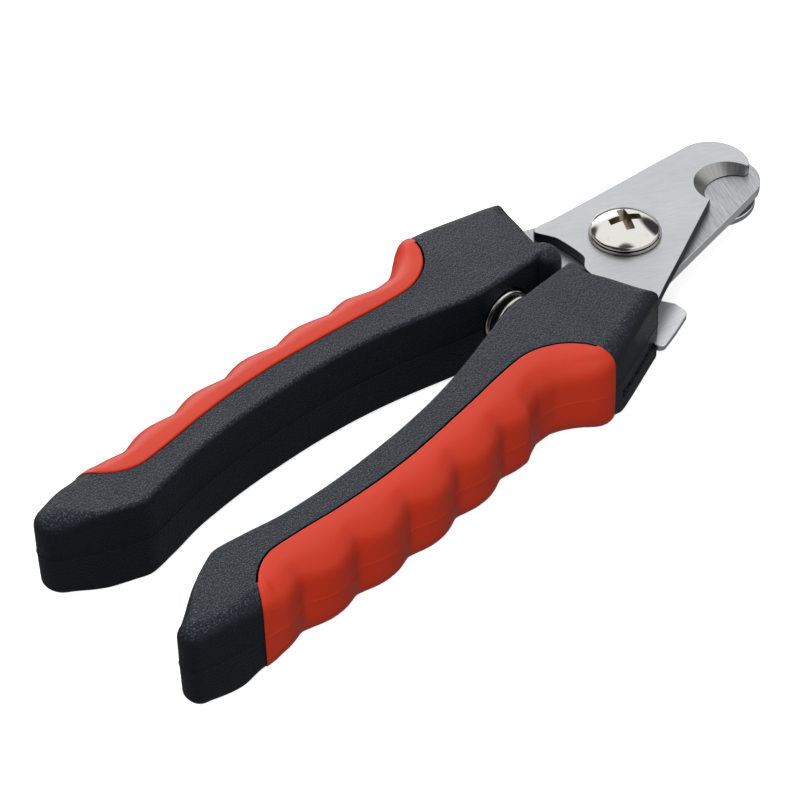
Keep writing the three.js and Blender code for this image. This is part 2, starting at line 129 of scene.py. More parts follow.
def through(points):
    """A smooth function y(x) through points in order of x, which never overshoots them."""
    n = len(points)

    def slope(i):
        return (points[i + 1][1] - points[i][1]) / (points[i + 1][0] - points[i][0])

    tangents = []
    for i in range(n):
        if i == 0 or i == n - 1:
            tangents.append(slope(0 if i == 0 else n - 2))
        else:
            a, b = slope(i - 1), slope(i)
            tangents.append(0 if a * b <= 0 else 2 * a * b / (a + b))

    def y(x):
        i = next((k for k in range(n - 1) if x <= points[k + 1][0]), n - 2)
        (x0, y0), (x1, y1) = points[i], points[i + 1]
        h = x1 - x0
        t = min(max((x - x0) / h, 0), 1)
        square, cube = t * t, t * t * t
        return ((2 * cube - 3 * square + 1) * y0 + (cube - 2 * square + t) * h * tangents[i]
                + (3 * square - 2 * cube) * y1 + (cube - square) * h * tangents[i + 1])

    return y


# The side by the other handle, then the outer side from the tail to the head.
inner_y = through([
    (TAIL_X, 16.2), (-126, 15.0), (-115, 9.1), (-112, 8.1), (-107, 8.8), (-97.5, 10.5), (-86, 11.1),
    (-74, 10.7), (-64.7, 9.8), (-58, 8.7), (-50.6, 7.0), (-41.3, 4.4), (-36.6, 3.2), (-31.9, 2.7),
    (HEAD_X, 2.4),
])
rear_y = through([
    (TAIL_X, 20.0), (-125.6, 20.9), (-120, 22.0), (-115, 22.6), (SCALLOPS_REAR_X, 23.1),
])
valley_y = through([
    (SCALLOPS_REAR_X, 21.6), (-105, 21.9), (-92.8, 22.6), (-80.6, 22.8), (-68.4, 22.3), (-56.7, 21.5),
    (SCALLOPS_FRONT_X, 20.9),
])
flare_y = through([
    (SCALLOPS_FRONT_X, 22.2), (-48.5, 21.0), (-46, 20.2), (-43, 20.3), (-40, 21.6), (-37, 23.7),
    (-34.9, 25.0), (-33.4, 25.4), (GRIP_FRONT_X, 25.2), (HEAD_X + HEAD_RAKE, HEAD_CORNER_Y),
])
# Where the grip's flat top ends and its outer edge starts to turn down.
grip_crest_y = through([
    (-113, 19.2), (-111, 18.4), (-105, 18.2), (-92.8, 18.9), (-80.6, 19.1), (-68.4, 18.5),
    (-56.7, 17.6), (-50.6, 16.9), (-47, 16.2), (-43, 15.9), (-40.5, 16.3), (-38, 17.6),
    (-35.8, 19.7), (-32.9, 21.6),
])
head_round = through([(GRIP_FRONT_X, 3.3), (-20, 2.8), (HEAD_X + HEAD_RAKE, 2.0)])
rear_round = through([(TAIL_X, TAIL_R), (-122, 2.4), (GRIP_REAR_X, 3.4)])

# The red and black border on the top face, from the front end of the grip to its rear end.
BORDER = [
    (-32.9, 21.6), (-33.9, 19.4), (-35.9, 16.9), (-38.3, 15.2), (-41.2, 14.0), (-44.5, 13.6),
    (-50.6, 14.1), (-56.7, 14.9), (-62.8, 15.6), (-68.4, 16.2), (-74, 16.7), (-80.6, 16.9),
    (-86.2, 16.8), (-92.8, 16.4), (-98.4, 15.8), (-105, 15.3), (-107.5, 15.6), (-109.5, 16.4),
    (-111.3, 17.6), (-113, 19.2),
]


def outer_y(x):
    if x < SCALLOPS_REAR_X:
        return rear_y(x)
    if x > SCALLOPS_FRONT_X:
        return flare_y(x)
    wave = math.sin(math.pi * (x - SCALLOP_X) / SCALLOP_PITCH)
    crest = math.hypot(1, SCALLOP_SOFT) - SCALLOP_SOFT
    return valley_y(x) + SCALLOP_H * (math.hypot(wave, SCALLOP_SOFT) - SCALLOP_SOFT) / crest


# ---- outlines as columns -----------------------------------------------------------------------
# A column is one place on a solid's outline: where its wall stands, how far its top and bottom
# edges lie inside the wall, as a vector, and how high the turn of the edge is.


class Column:
    """One place on an outline."""

    def __init__(self, at, inset, rise):
        self.at = Vector(at)
        self.inset = Vector(inset)
        self.rise = rise


def spread(start, end, count):
    return [start + (end - start) * i / (count - 1) for i in range(count)]


def arc(cx, cy, radius, start, end, count):
    return [(cx + radius * math.cos(math.radians(a)), cy + radius * math.sin(math.radians(a)))
            for a in spread(start, end, count)]


def spline(points, step):
    """A Catmull-Rom curve through points, sampled about every step."""
    ends = [Vector(p) for p in points]
    ends = [2 * ends[0] - ends[1], *ends, 2 * ends[-1] - ends[-2]]
    made = []
    for a, b, c, d in zip(ends, ends[1:], ends[2:], ends[3:]):
        for t in spread(0, 1, max(2, round((c - b).length / step) + 1))[:-1]:
            made.append(0.5 * (2 * b + (c - a) * t + (2 * a - 5 * b + 4 * c - d) * t ** 2
                               + (3 * b - a - 3 * c + d) * t ** 3))
    return [*made, ends[-2]]


def normals(points):
    """Outward normals along an open line that runs clockwise round the outline."""
    places = [Vector(p) for p in points]
    found = []
    for i in range(len(places)):
        along = places[min(i + 1, len(places) - 1)] - places[max(i - 1, 0)]
        found.append(Vector((-along.y, along.x)).normalized())
    return found


def run(points, radius, offset=0.0):
    """Columns along an open line, offset outwards. Their edges are rounded by radius, which may
    be a function of x."""
    made = []
    for p, n in zip(points, normals(points)):
        r = radius(p[0]) if callable(radius) else radius
        made.append(Column(Vector(p) + n * offset, -n * r, r))
    return made


def ease(t):
    """Rises smoothly from 0 to 1 as t does."""
    t = min(max(t, 0), 1)
    return t * t * (3 - 2 * t)


def lean(columns, end, inset, rise, reach):
    """Turns the columns within reach of one end of a run, the first at 0 or the last at -1, so
    that the end one has this inset and rise."""
    at = columns[end].at
    for c in columns:
        share = ease(1 - (c.at - at).length / reach)
        c.inset = c.inset.lerp(inset, share)
        c.rise += (rise - c.rise) * share


def crossing(a, b, c, d):
    """The point where segments a-b and c-d cross, or None."""
    first, second, between = b - a, d - c, c - a
    area = first.x * second.y - first.y * second.x
    if abs(area) < 1e-12:
        return None
    t = (between.x * second.y - between.y * second.x) / area
    u = (between.x * first.y - between.y * first.x) / area
    return a + first * t if 0 < t < 1 and 0 < u < 1 else None


def unfold(columns):
    """Gathers to one point every stretch of the top outline that would loop over itself."""
    count = len(columns)
    for i in range(count):
        tops = [c.at + c.inset + c.inset.normalized() * DRAFT for c in columns]
        for step in range(LONGEST_LOOP, 1, -1):
            j = (i + step) % count
            spot = crossing(tops[i], tops[(i + 1) % count], tops[j], tops[(j + 1) % count])
            if spot:
                for k in range(i + 1, i + step + 1):
                    c = columns[k % count]
                    c.inset = (spot - c.at) - (spot - c.at).normalized() * DRAFT
                break
    return columns


def edge_point(column, angle, end, way, middle, amount=1.0):
    """A point on the turn of the edge at height end, angle radians round from the wall."""
    z = end + way * column.rise * amount * (1 - math.sin(angle))
    share = abs(z - middle) / abs(end - middle)
    inward = column.inset.normalized() * DRAFT * share * share
    spot = column.at + column.inset * amount * (1 - math.cos(angle)) + inward
    return spot.x, spot.y, z


def wall_point(column, z, out):
    """A point on the wall at height z, or out from it."""
    spot = column.at - column.inset.normalized() * out
    return spot.x, spot.y, z


def column_stack(columns, low, high, under=None):
    """Rings of points from the underside to the top of a handle piece with rounded edges.
    under(column) is how much of the rounding the underside has, if not all of it."""
    middle = (low + high) / 2
    quarter = [math.pi / 2 * i / EDGE_STEPS for i in range(EDGE_STEPS + 1)]
    rings = []
    for angle in reversed(quarter):
        rings.append([edge_point(c, angle, low, 1, middle, under(c) if under else 1)
                      for c in columns])
    for lift, out in ((-RIDGE_HALF_H, 0.0), (0.0, RIDGE), (RIDGE_HALF_H, 0.0)):
        rings.append([wall_point(c, middle + lift, out) for c in columns])
    for angle in quarter:
        rings.append([edge_point(c, angle, high, -1, middle) for c in columns])
    return rings


# ---- meshes ------------------------------------------------------------------------------------

ROUND_SIDES = 96
ROUND_ANGLES = [2 * math.pi * k / ROUND_SIDES for k in range(ROUND_SIDES)]
WIRE_SIDES = 14


def place(point):
    return ((point[0] + PIVOT_X) * MM, point[1] * MM, point[2] * MM)


def mirrored(rings):
    """The same rings on the other side of y = 0, turned so that their faces still look out."""
    return [[(x, -y, z) for x, y, z in reversed(ring)] for ring in rings]


def skin(rings, caps=True, strips=False):
    """Vertices and faces of a loft through closed rings. Strip caps join the two halves of the
    end rings, which face each other."""
    count = len(rings[0])
    verts = [p for ring in rings for p in ring]
    faces = []
    for r in range(len(rings) - 1):
        for i in range(count):
            j = (i + 1) % count
            faces.append((r * count + i, r * count + j, (r + 1) * count + j, (r + 1) * count + i))
    last = (len(rings) - 1) * count
    if strips:
        for i in range(count // 2 - 1):
            cap = (i, i + 1, count - 2 - i, count - 1 - i)
            faces.append(tuple(reversed(cap)))
            faces.append(tuple(last + k for k in cap))
    elif caps:
        faces.append(tuple(reversed(range(count))))
        faces.append(tuple(range(last, last + count)))
    return verts, faces


def mesh_object(name, verts, faces, material, sharp_deg=35):
    mesh = bpy.data.meshes.new(name)
    mesh.from_pydata([place(p) for p in verts], [], faces)
    obj = bpy.data.objects.new(name, mesh)
    bpy.context.scene.collection.objects.link(obj)
    mesh.materials.append(material)
    tidy(obj, sharp_deg)
    return obj


def tidy(obj, sharp_deg):
    """Welds coincident points, turns faces outward, and shades smoothly up to an angle."""
    bm = bmesh.new()
    bm.from_mesh(obj.data)
    bmesh.ops.remove_doubles(bm, verts=bm.verts, dist=2e-6)
    bmesh.ops.dissolve_degenerate(bm, edges=bm.edges, dist=1e-6)
    bmesh.ops.recalc_face_normals(bm, faces=bm.faces)
    for face in bm.faces:
        face.smooth = True
    for edge in bm.edges:
        edge.smooth = not (edge.is_manifold and edge.calc_face_angle(0) > math.radians(sharp_deg))
    bm.to_mesh(obj.data)
    bm.free()


def apply(obj, step):
    """Applies a modifier, the only one that obj has."""
    bpy.context.view_layer.update()
    evaluated = obj.evaluated_get(bpy.context.evaluated_depsgraph_get())
    made = bpy.data.meshes.new_from_object(evaluated)
    obj.modifiers.remove(step)
    obj.data = made


def carve(obj, cutters, sharp_deg=35):
    """Cuts other meshes out of obj, and removes them. Each cut has its cutter's material."""
    for cutter in cutters:
        step = obj.modifiers.new("carve", "BOOLEAN")
        step.object = cutter
        step.operation = "DIFFERENCE"
        step.solver = "EXACT"
        step.material_mode = "TRANSFER"
        apply(obj, step)
        bpy.data.objects.remove(cutter)
    tidy(obj, sharp_deg)


def join_level(obj):
    """Joins the level faces into which a cut has split the top and the underside."""
    bm = bmesh.new()
    bm.from_mesh(obj.data)

    def inside_level(edge):
        if not edge.is_manifold or any(abs(face.normal.z) < 0.99999 for face in edge.link_faces):
            return False
        first, second = (face.calc_center_median().z for face in edge.link_faces)
        return abs(first - second) < 1e-6

    inside = [edge for edge in bm.edges if inside_level(edge)]
    bmesh.ops.dissolve_edges(bm, edges=inside, use_verts=False)
    bm.to_mesh(obj.data)
    bm.free()


def slab(name, low_outline, high_outline, low, high, bevel, material):
    """A plate between two clockwise outlines of equal count, with small bevels."""
    def inset(outline):
        count = len(outline)
        made = []
        for i, p in enumerate(outline):
            along = Vector(outline[(i + 1) % count]) - Vector(outline[i - 1])
            made.append(Vector(p) + Vector((along.y, -along.x)).normalized() * bevel)
        return made

    rings = [(inset(low_outline), low), (low_outline, low + bevel),
             (high_outline, high - bevel), (inset(high_outline), high)]
    verts, faces = skin([[(p[0], p[1], z) for p in outline] for outline, z in rings])
    return mesh_object(name, verts, faces, material, 25)


def circle(radius, z):
    """A level ring of points about the pivot axis."""
    return [(radius * math.cos(a), radius * math.sin(a), z) for a in ROUND_ANGLES]


def lathe(name, profile, material, hollow=False):
    """A solid of revolution about the pivot axis from (radius, height) points. The profile of a
    hollow one goes once round its section."""
    rings = [circle(radius, z) for radius, z in profile]
    if hollow:
        rings.append(rings[0])
    return mesh_object(name, *skin(rings, caps=not hollow), material)


def tube(name, centre, radius, material):
    """A round wire along a list of points."""
    path = [Vector(p) for p in centre]
    rings = []
    side = None
    for i, p in enumerate(path):
        along = (path[min(i + 1, len(path) - 1)] - path[max(i - 1, 0)]).normalized()
        side = along.orthogonal() if side is None else side - along * side.dot(along)
        side.normalize()
        up = along.cross(side)
        rings.append([tuple(p + radius * (math.cos(a) * side + math.sin(a) * up))
                      for a in (2 * math.pi * k / WIRE_SIDES for k in range(WIRE_SIDES))])
    return mesh_object(name, *skin(rings), material, 50)


# ---- materials ---------------------------------------------------------------------------------

# The upper blade's notch at its two faces: centre, radius, and the angles it starts and ends at.
NOTCH_OUTSIDE = (24.6, -4.4, 6.35, 187, 6)
NOTCH_INSIDE = (24.8, -6.1, 5.75, 165, 22)


class Paint:
    """A node material around one Principled shader."""

    def __init__(self, name, color, roughness, metallic=0.0, **sockets):
        self.material = bpy.data.materials.new(name)
        self.material.use_nodes = True
        self.nodes = self.material.node_tree.nodes
        self.links = self.material.node_tree.links
        self.shader = self.nodes["Principled BSDF"]
        self.shader.inputs["Base Color"].default_value = (*color, 1)
        self.shader.inputs["Roughness"].default_value = roughness
        self.shader.inputs["Metallic"].default_value = metallic
        for socket, value in sockets.items():
            self.shader.inputs[socket.replace("_", " ")].default_value = value
        self.coords = self.nodes.new("ShaderNodeTexCoord").outputs["Object"]

    def stretched(self, scale, turn_deg):
        """Coordinates turned about the upright axis and then scaled along each axis."""
        mapping = self.nodes.new("ShaderNodeMapping")
        mapping.vector_type = "POINT"
        mapping.inputs["Scale"].default_value = scale
        turned = self.nodes.new("ShaderNodeMapping")
        turned.inputs["Rotation"].default_value = (0, 0, math.radians(turn_deg))
        self.links.new(self.coords, turned.inputs["Vector"])
        self.links.new(turned.outputs["Vector"], mapping.inputs["Vector"])
        return mapping.outputs["Vector"]

    def maths(self, operation, first, second):
        node = self.nodes.new("ShaderNodeMath")
        node.operation = operation
        for socket, value in zip(node.inputs, (first, second)):
            if isinstance(value, (int, float)):
                socket.default_value = value
            else:
                self.links.new(value, socket)
        return node.outputs[0]

    def around(self, x, y):
        """The angle about an upright axis at x and y, as a vector."""
        parts = self.nodes.new("ShaderNodeSeparateXYZ")
        self.links.new(self.coords, parts.inputs[0])
        along = [self.maths("SUBTRACT", parts.outputs[k], at) for k, at in ((1, y), (0, x))]
        vector = self.nodes.new("ShaderNodeCombineXYZ")
        self.links.new(self.maths("ARCTAN2", *along), vector.inputs[0])
        return vector.outputs[0]

    def noise(self, scale, detail=2.0, rough=0.5, vector=None):
        node = self.nodes.new("ShaderNodeTexNoise")
        node.inputs["Scale"].default_value = scale
        node.inputs["Detail"].default_value = detail
        node.inputs["Roughness"].default_value = rough
        self.links.new(vector or self.coords, node.inputs["Vector"])
        return node.outputs["Fac"]

    def level_share(self):
        """1 where the surface is level, 0 where it is steep."""
        parts = self.nodes.new("ShaderNodeSeparateXYZ")
        self.links.new(self.nodes.new("ShaderNodeNewGeometry").outputs["True Normal"], parts.inputs[0])
        return self.ramp(parts.outputs["Z"], 0.4, 0.9)

    def ramp(self, value, low, high, to_low=0.0, to_high=1.0):
        node = self.nodes.new("ShaderNodeMapRange")
        node.inputs["From Min"].default_value = low
        node.inputs["From Max"].default_value = high
        node.inputs["To Min"].default_value = to_low
        node.inputs["To Max"].default_value = to_high
        self.links.new(value, node.inputs["Value"])
        return node.outputs["Result"]

    def mix(self, value, first, second):
        node = self.nodes.new("ShaderNodeMix")
        node.data_type = "RGBA"
        for socket, color in ((node.inputs[6], first), (node.inputs[7], second)):
            if isinstance(color, tuple):
                socket.default_value = (*color, 1)
            else:
                self.links.new(color, socket)
        self.links.new(value, node.inputs[0])
        return node.outputs[2]

    def color(self, value):
        self.links.new(value, self.shader.inputs["Base Color"])

    def roughness(self, value):
        self.links.new(value, self.shader.inputs["Roughness"])

    def bump(self, layers):
        """layers is a list of (height 0 to 1, depth in millimetres)."""
        normal = None
        for value, depth in layers:
            node = self.nodes.new("ShaderNodeBump")
            node.inputs["Strength"].default_value = 1
            node.inputs["Distance"].default_value = depth * MM
            self.links.new(value, node.inputs["Height"])
            if normal:
                self.links.new(normal, node.inputs["Normal"])
            normal = node.outputs["Normal"]
        self.links.new(normal, self.shader.inputs["Normal"])


def black_plastic():
    p = Paint("moulded_black", (0.008, 0.009, 0.012), 0.4, Specular_IOR_Level=0.35)
    p.shader.inputs["Specular Tint"].default_value = (0.8, 0.92, 1.05, 1)
    grain = p.noise(2500, 3, 0.6)
    fine = p.noise(3800, 1)
    patch = p.noise(90, 3)
    # Painted highlight: light specks in the base colour, only on level faces, stand in for glints of
    # light off the grain on the tops.
    painted_glints = p.maths("MULTIPLY", p.ramp(fine, 0.54, 0.64), p.level_share())
    p.color(p.mix(painted_glints, (0.004, 0.005, 0.008), (0.065, 0.075, 0.09)))
    p.roughness(p.ramp(patch, 0.3, 0.7, 0.34, 0.44))
    p.bump([(grain, 0.3)])
    return p.material


def red_rubber():
    p = Paint("red_rubber", (0.62, 0.035, 0.009), 0.38, Specular_IOR_Level=0.45)
    patch = p.noise(60, 2)
    skin_grain = p.noise(2600, 2)
    p.color(p.mix(p.ramp(patch, 0.3, 0.7), (0.59, 0.032, 0.008), (0.65, 0.04, 0.012)))
    p.roughness(p.ramp(patch, 0.3, 0.7, 0.38, 0.46))
    p.bump([(skin_grain, 0.012), (p.noise(240, 2), 0.03)])
    return p.material


def ground_steel(name, turn_deg, tone=1.0, rough=0.34, streak=0.25):
    p = Paint(name, (0.62 * tone, 0.635 * tone, 0.66 * tone), rough, 1.0)
    lines = p.noise(1.0, 3, 0.6, p.stretched((260, 5200, 260), turn_deg))
    patch = p.noise(140, 3)
    shade = p.mix(p.ramp(patch, 0.3, 0.75), (0.64 * tone, 0.65 * tone, 0.67 * tone),
                  (0.69 * tone, 0.7 * tone, 0.72 * tone))
    p.color(p.mix(p.ramp(lines, 0.35, 0.65, 0, streak), shade, (0.31 * tone, 0.31 * tone, 0.32 * tone)))
    p.roughness(p.ramp(lines, 0.3, 0.7, rough - 0.05, rough + 0.07))
    p.bump([(lines, 0.006)])
    return p.material


def ground_edge():
    p = Paint("ground_edge", (0.55, 0.55, 0.55), 0.3, 1.0)
    lines = p.noise(24, 3, 0.6, p.around(*place(NOTCH_OUTSIDE)[:2]))
    p.color(p.mix(p.ramp(lines, 0.35, 0.65), (0.33, 0.33, 0.33), (0.56, 0.55, 0.54)))
    p.roughness(p.ramp(lines, 0.3, 0.7, 0.3, 0.42))
    p.bump([(lines, 0.008)])
    return p.material


def plated(name, color, rough, metallic=1.0):
    p = Paint(name, color, rough, metallic)
    patch = p.noise(420, 3)
    p.roughness(p.ramp(patch, 0.35, 0.7, rough, rough + 0.07))
    p.color(p.mix(p.ramp(patch, 0.55, 0.8), color, tuple(c * 0.86 for c in color)))
    p.bump([(p.noise(300, 2), 0.02), (p.noise(1500, 2), 0.004)])
    return p.material


MATERIALS = {
    "black_plastic": black_plastic(),
    "red_rubber": red_rubber(),
    "blade_steel": ground_steel("blade_steel", 30, streak=0.17),
    "lower_steel": ground_steel("lower_steel", -62, 0.93, 0.36, 0.6),
    "guard_steel": ground_steel("guard_steel", 10, 1.35),
    "ground_edge": ground_edge(),
    # Painted shade and painted light: the upper blade's walls get a dark copy of the steel, and the
    # lower blade's walls a light, less metallic copy.
    "painted_shade_wall_steel": plated("painted_shade_wall_steel", (0.05, 0.055, 0.065), 0.4),
    "painted_light_wall_steel": plated("painted_light_wall_steel", (0.8, 0.8, 0.81), 0.38, 0.15),
    "washer_steel": ground_steel("washer_steel", 0, 0.9, 0.4),
    "nickel_plate": plated("nickel_plate", (0.88, 0.86, 0.82), 0.08),
    "nickel_shaded": plated("nickel_shaded", (0.4, 0.38, 0.35), 0.22),
    "recess": plated("recess", (0.37, 0.32, 0.24), 0.3),
    "spring_wire": plated("spring_wire", (0.78, 0.75, 0.7), 0.14),
}

# ---- handles -----------------------------------------------------------------------------------

GRIP_SIDE = [(x, outer_y(x)) for x in spread(GRIP_REAR_X, GRIP_FRONT_X, 169)]
BORDER_LINE = spline(BORDER, 0.25)
# How far inside the wall the top edge starts, and how high its turn is, at the grip's two ends.
FRONT_INSET = Vector(BORDER[0]) - Vector((GRIP_FRONT_X, outer_y(GRIP_FRONT_X)))
REAR_INSET = Vector(BORDER[-1]) - Vector((GRIP_REAR_X, outer_y(GRIP_REAR_X)))
FRONT_RISE = 3.3
REAR_RISE = 3.4
EDGE_RISE = 5.0
CORE_LIP_R = 0.12               # the edges along the border
GRIP_LIP_R = 0.3

HEAD_CORNER = Vector((HEAD_X + HEAD_RAKE + 0.1, HEAD_CORNER_Y))
HEAD_FRONT_END = Vector((-18.45, 6.75))
CORNER_R = 0.9
TOP_CORNER_SIDE = 3.6           # where the top's corner lies, along the side and the front
TOP_CORNER_FRONT = 2.8
HEAD_RISE = 2.8
# The lobe at the head's inner corner: its centre and radius, and where its arc starts and ends.
LOBES = {"far": (-18.6, 3.2, 2.9, 70, -164), "near": (-19.4, 4.4, 2.3, 48, -60)}
LOBE_ROUND = {"far": 2.0, "near": 0.9}
LOBE_DROP = 0.6                 # how much more its middle is rounded than its ends
INNER_FRONT_X = -19.4           # where the inner side starts, unless the lobe reaches past it

STAGGER = {"far": 0.3, "near": -0.3}    # the two handles do not lie quite level along X
TAIL_CUT = {"far": 1.0, "near": -0.4}   # and their tails differ a little in length
TAIL_TURN_INNER = 1.8           # how far from the end the tail's round end starts
TAIL_TURN_OUTER = 2.4
TAIL_TIP_Y = 18.0
TAIL_INNER_BEND_Y = 15.9        # where the round end's two curves would have their corners
TAIL_OUTER_BEND_Y = 20.4
TAIL_TOP = (3.6, 17.8)          # where the top ends: how far from the end, and y
TAIL_RISE = 2.9

# How much less the cores are rounded underneath than on top.
HEAD_FLATTER = 0.6
TAIL_FLATTER = 0.5
TAIL_END_FLATTER = 0.25
OUTER_SIDE_Y = 8                # beyond this is the head's outer side


def bend(start, control, end, count):
    """Points on a curve that leaves start towards control and reaches end from it."""
    return [start * (1 - t) ** 2 + control * 2 * t * (1 - t) + end * t * t for t in spread(0, 1, count)]


def head_columns(side_name):
    """The head's outer side, front corner, slanting front face and inner lobe."""
    along_side = (Vector((GRIP_FRONT_X, outer_y(GRIP_FRONT_X))) - HEAD_CORNER).normalized()
    along_front = (HEAD_FRONT_END - HEAD_CORNER).normalized()
    side_end = HEAD_CORNER + along_side * CORNER_R
    front_start = HEAD_CORNER + along_front * CORNER_R
    top_corner = HEAD_CORNER + along_side * TOP_CORNER_SIDE + along_front * TOP_CORNER_FRONT
    lobe_round = LOBE_ROUND[side_name]

    side = run([(x, outer_y(x)) for x in spread(GRIP_FRONT_X, side_end.x, 18)], head_round)
    turn = [Column(p, top_corner - p, HEAD_RISE) for p in bend(side_end, HEAD_CORNER, front_start, 9)]
    front = run([front_start + (HEAD_FRONT_END - front_start) * t for t in spread(0, 1, 12)], CORNER_R)
    lobe = run(arc(*LOBES[side_name], 21), lobe_round)
    lean(side, 0, FRONT_INSET, FRONT_RISE, reach=4)
    lean(side, -1, top_corner - side[-1].at, HEAD_RISE, reach=5)
    lean(front, 0, top_corner - front[0].at, HEAD_RISE, reach=11)
    lean(front, -1, lobe[0].inset, lobe_round, reach=3)
    for c, t in zip(lobe, spread(0, 1, len(lobe))):
        more = 1 + LOBE_DROP * math.sin(math.pi * t)
        c.inset, c.rise = c.inset * more, c.rise * more
    return [*side, *turn, *front, *lobe]


def tail_columns(end_x):
    """The rounded rear end, from the inner edge to the outer edge."""
    inner_x, outer_x = end_x + TAIL_TURN_INNER, end_x + TAIL_TURN_OUTER
    inner_end = Vector((inner_x, inner_y(inner_x)))
    outer_end = Vector((outer_x, rear_y(outer_x)))
    tip = Vector((end_x, TAIL_TIP_Y))
    top_end = Vector((end_x + TAIL_TOP[0], TAIL_TOP[1]))
    points = [*bend(inner_end, Vector((end_x, TAIL_INNER_BEND_Y)), tip, 9),
              *bend(tip, Vector((end_x, TAIL_OUTER_BEND_Y)), outer_end, 9)[1:]]
    return [Column(p, top_end - p, TAIL_RISE) for p in points]


def core_columns(side_name):
    """The core's whole outline: inner side, tail, rear side, border with the grip, and head."""
    lobe_x, _, lobe_r, _, lobe_to = LOBES[side_name]
    inner_from = min(INNER_FRONT_X, lobe_x + lobe_r * math.cos(math.radians(lobe_to)) - 0.1)
    end_x = TAIL_X + TAIL_CUT[side_name]
    inner = run([(x, inner_y(x)) for x in spread(inner_from, end_x + TAIL_TURN_INNER, 130)], INNER_R)
    tail = tail_columns(end_x)
    rear = run([(x, rear_y(x)) for x in spread(end_x + TAIL_TURN_OUTER, GRIP_REAR_X, 16)], rear_round)
    lean(inner, -1, tail[0].inset, tail[0].rise, reach=8)
    lean(rear, -1, REAR_INSET, REAR_RISE, reach=4)
    lean(rear, 0, tail[-1].inset, tail[-1].rise, reach=6)
    border = run(list(reversed(BORDER_LINE[::3])), CORE_LIP_R, -SEAM)
    return [*inner, *tail, *rear, *border, *head_columns(side_name)]


def grip_columns():
    """The grip's whole outline: its outer side and, back along it, the border with the core."""
    side = []
    for p, n in zip(GRIP_SIDE, normals(GRIP_SIDE)):
        out = Vector(p) + n * PROUD
        crest = Vector((p[0], grip_crest_y(p[0])))
        side.append(Column(out, crest - out, EDGE_RISE))
    lean(side, -1, FRONT_INSET, FRONT_RISE, reach=5)
    lean(side, 0, REAR_INSET, REAR_RISE, reach=5)
    border = [BORDER_LINE[round(k)] for k in spread(0, len(BORDER_LINE) - 1, len(side))]
    return [*side, *run(border, GRIP_LIP_R, -SEAM)]


def under_share(column):
    """How much of the rounding on top a core has underneath: less along the tail and along the
    outer side of the head."""
    x, y = column.at
    if x < GRIP_REAR_X:
        behind_grip = TAIL_FLATTER * ease((GRIP_REAR_X - x) / 5)
        by_end = TAIL_END_FLATTER + (TAIL_FLATTER - TAIL_END_FLATTER) * ease((x - TAIL_X - 1) / 7)
        return 1 - min(behind_grip, by_end)
    if y > OUTER_SIDE_Y:
        return 1 - HEAD_FLATTER * ease((x - GRIP_FRONT_X - 1) / 3)
    return 1


def moved_along(rings, distance):
    return [[(x + distance, y, z) for x, y, z in ring] for ring in rings]


def handle(side, body):
    """The core and grip of one handle: side is far or near."""
    cores = column_stack(unfold(core_columns(side)), PROUD, HANDLE_T - PROUD, under_share)
    grips = column_stack(grip_columns(), 0, HANDLE_T)
    cores, grips = moved_along(cores, STAGGER[side]), moved_along(grips, STAGGER[side])
    if side == "near":
        cores, grips = mirrored(cores), mirrored(grips)
    core = mesh_object(f"{side}_core", *skin(cores), MATERIALS["black_plastic"])
    grip = mesh_object(f"{side}_soft_grip", *skin(grips, strips=True), MATERIALS["red_rubber"])
    cuts = [spring_pocket(1 if side == "far" else -1)]
    if side == "near":
        cuts.append(guard_slot())
    carve(core, cuts)
    join_level(core)
    keep(core, body, f"{side}_handle_core")
    keep(grip, body, f"{side}_grip")


def even_shading(obj):
    """Lets the large faces decide the normals along their edges."""
    step = obj.modifiers.new("even", "WEIGHTED_NORMAL")
    step.keep_sharp = True
    step.weight = 100
    apply(obj, step)


def keep(obj, body, node):
    """Finishes a piece: evens its shading, gives it its body and hides its CAD node."""
    even_shading(obj)
    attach(obj, body)
    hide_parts(node)


# ---- spring and its pockets --------------------------------------------------------------------

SPRING_X = -29.7
SPRING_R = 4.6
SPRING_WIRE = 0.5
SPRING_TURNS = 7
SPRING_PHASE = 0.36             # in turns
SPRING_DEAD = 0.75              # turns at each end that lie almost closed
SPRING_DEAD_RISE = 0.5
SPRING_END_GAP = 0.15
STEPS_PER_TURN = 40
POCKET_Y = 7.4
POCKET_R = 5.5
POCKET_SIDES = 72
BOSS_R = 3.7


def spring_pocket(sign):
    """A ring about the spring's axis, to be cut out of the handle on one side of y = 0."""
    floor_y, open_y = sign * POCKET_Y, -sign
    rings = []
    for r, y in ((BOSS_R, open_y), (POCKET_R, open_y), (POCKET_R, floor_y), (BOSS_R, floor_y),
                 (BOSS_R, open_y)):
        rings.append([(SPRING_X + r * math.cos(a), y, MID + r * math.sin(a))
                      for a in (2 * math.pi * k / POCKET_SIDES for k in range(POCKET_SIDES))])
    return mesh_object("pocket_cut", *skin(rings, caps=False), MATERIALS["black_plastic"])


def spring():
    """A coil from the near pocket to the far one, with a part turn almost closed at each end."""
    half = POCKET_Y - SPRING_WIRE - SPRING_END_GAP
    dead = SPRING_DEAD / SPRING_TURNS
    steps = SPRING_TURNS * STEPS_PER_TURN
    centre = []
    for i in range(steps + 1):
        share = i / steps
        open_share = min(max((share - dead) / (1 - 2 * dead), 0), 1)
        dead_share = (min(share, dead) + max(share - 1 + dead, 0)) / dead
        y = -half + SPRING_DEAD_RISE * dead_share + 2 * (half - SPRING_DEAD_RISE) * open_share
        angle = 2 * math.pi * (SPRING_TURNS * share - SPRING_PHASE)
        centre.append((SPRING_X + SPRING_R * math.cos(angle), y, MID + SPRING_R * math.sin(angle)))
    wire = tube("coil_spring", centre, SPRING_WIRE, MATERIALS["spring_wire"])
    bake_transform(wire)
    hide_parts("handle_spring")


# ---- blades and guard --------------------------------------------------------------------------

